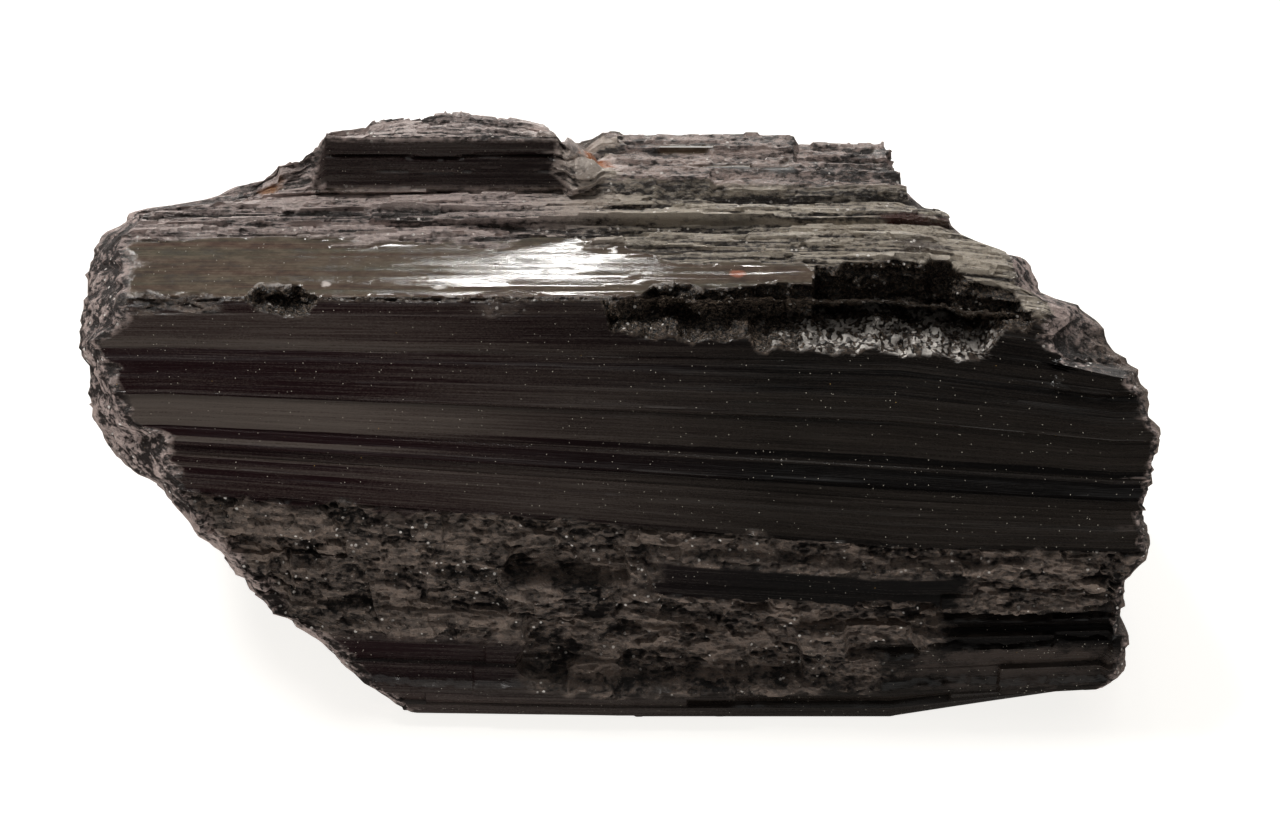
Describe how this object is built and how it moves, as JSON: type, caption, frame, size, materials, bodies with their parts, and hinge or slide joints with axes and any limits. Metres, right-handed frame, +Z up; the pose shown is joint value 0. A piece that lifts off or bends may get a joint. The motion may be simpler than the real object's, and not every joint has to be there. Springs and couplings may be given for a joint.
{
  "type": "tourmaline crystal",
  "caption": "Broken, ribbed black tourmaline crystal specimen lying on a flat side, with a raised slab, a notched edge and rough broken ends.",
  "frame": {"origin": "under the middle of the crystal's box, on the plane it rests on", "axes": "+X along the crystal, from its slanted left end to its right end; +Z up; -Y is the front, with the wide smooth ribbed face"},
  "size_m": [0.0972, 0.0426, 0.0471],
  "materials": {
    "black_tourmaline": "satin"
  },
  "bodies": {
    "root": {"tourmaline_crystal": "black_tourmaline"}
  },
  "joints": []
}
